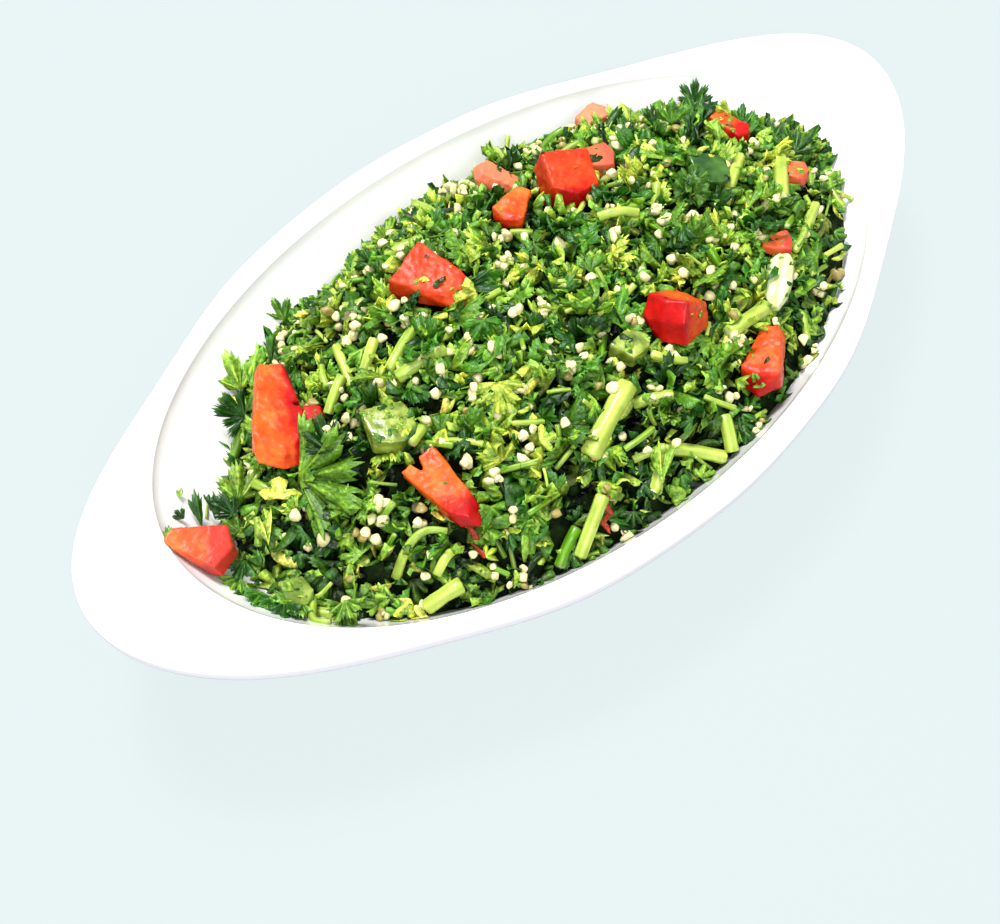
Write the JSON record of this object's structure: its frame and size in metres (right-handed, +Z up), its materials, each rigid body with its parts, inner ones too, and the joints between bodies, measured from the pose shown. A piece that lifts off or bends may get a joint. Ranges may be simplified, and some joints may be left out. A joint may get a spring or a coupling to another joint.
{
  "type": "tabbouleh salad",
  "caption": "Heap of chopped parsley, grains, diced tomato and cucumber in an oval white dish with two raised pointed ends.",
  "frame": {"origin": "on the table, under the middle of the dish's bounding box", "axes": "+X along the dish, towards the end where the salad lies higher; +Y across it; +Z up"},
  "size_m": [0.26, 0.1394, 0.0583],
  "materials": {
    "porcelain": "glazed white porcelain",
    "herbs": "wet chopped parsley with pale grains and cut stems",
    "tomato": "wet cut tomato, red skin on one side",
    "cucumber": "wet cut cucumber with a dark green skin edge",
    "onion": "wet pale piece of a layer"
  },
  "bodies": {
    "root": {"dish": "porcelain", "salad": "herbs", "tomato_1": "tomato", "tomato_2": "tomato", "tomato_3": "tomato", "tomato_4": "tomato", "tomato_5": "tomato", "tomato_6": "tomato", "tomato_7": "tomato", "tomato_8": "tomato", "tomato_9": "tomato", "tomato_10": "tomato", "tomato_11": "tomato", "tomato_12": "tomato", "tomato_13": "tomato", "tomato_14": "tomato", "tomato_15": "tomato", "cucumber_1": "cucumber", "cucumber_2": "cucumber", "cucumber_3": "cucumber", "cucumber_4": "cucumber", "onion": "onion"}
  },
  "joints": []
}
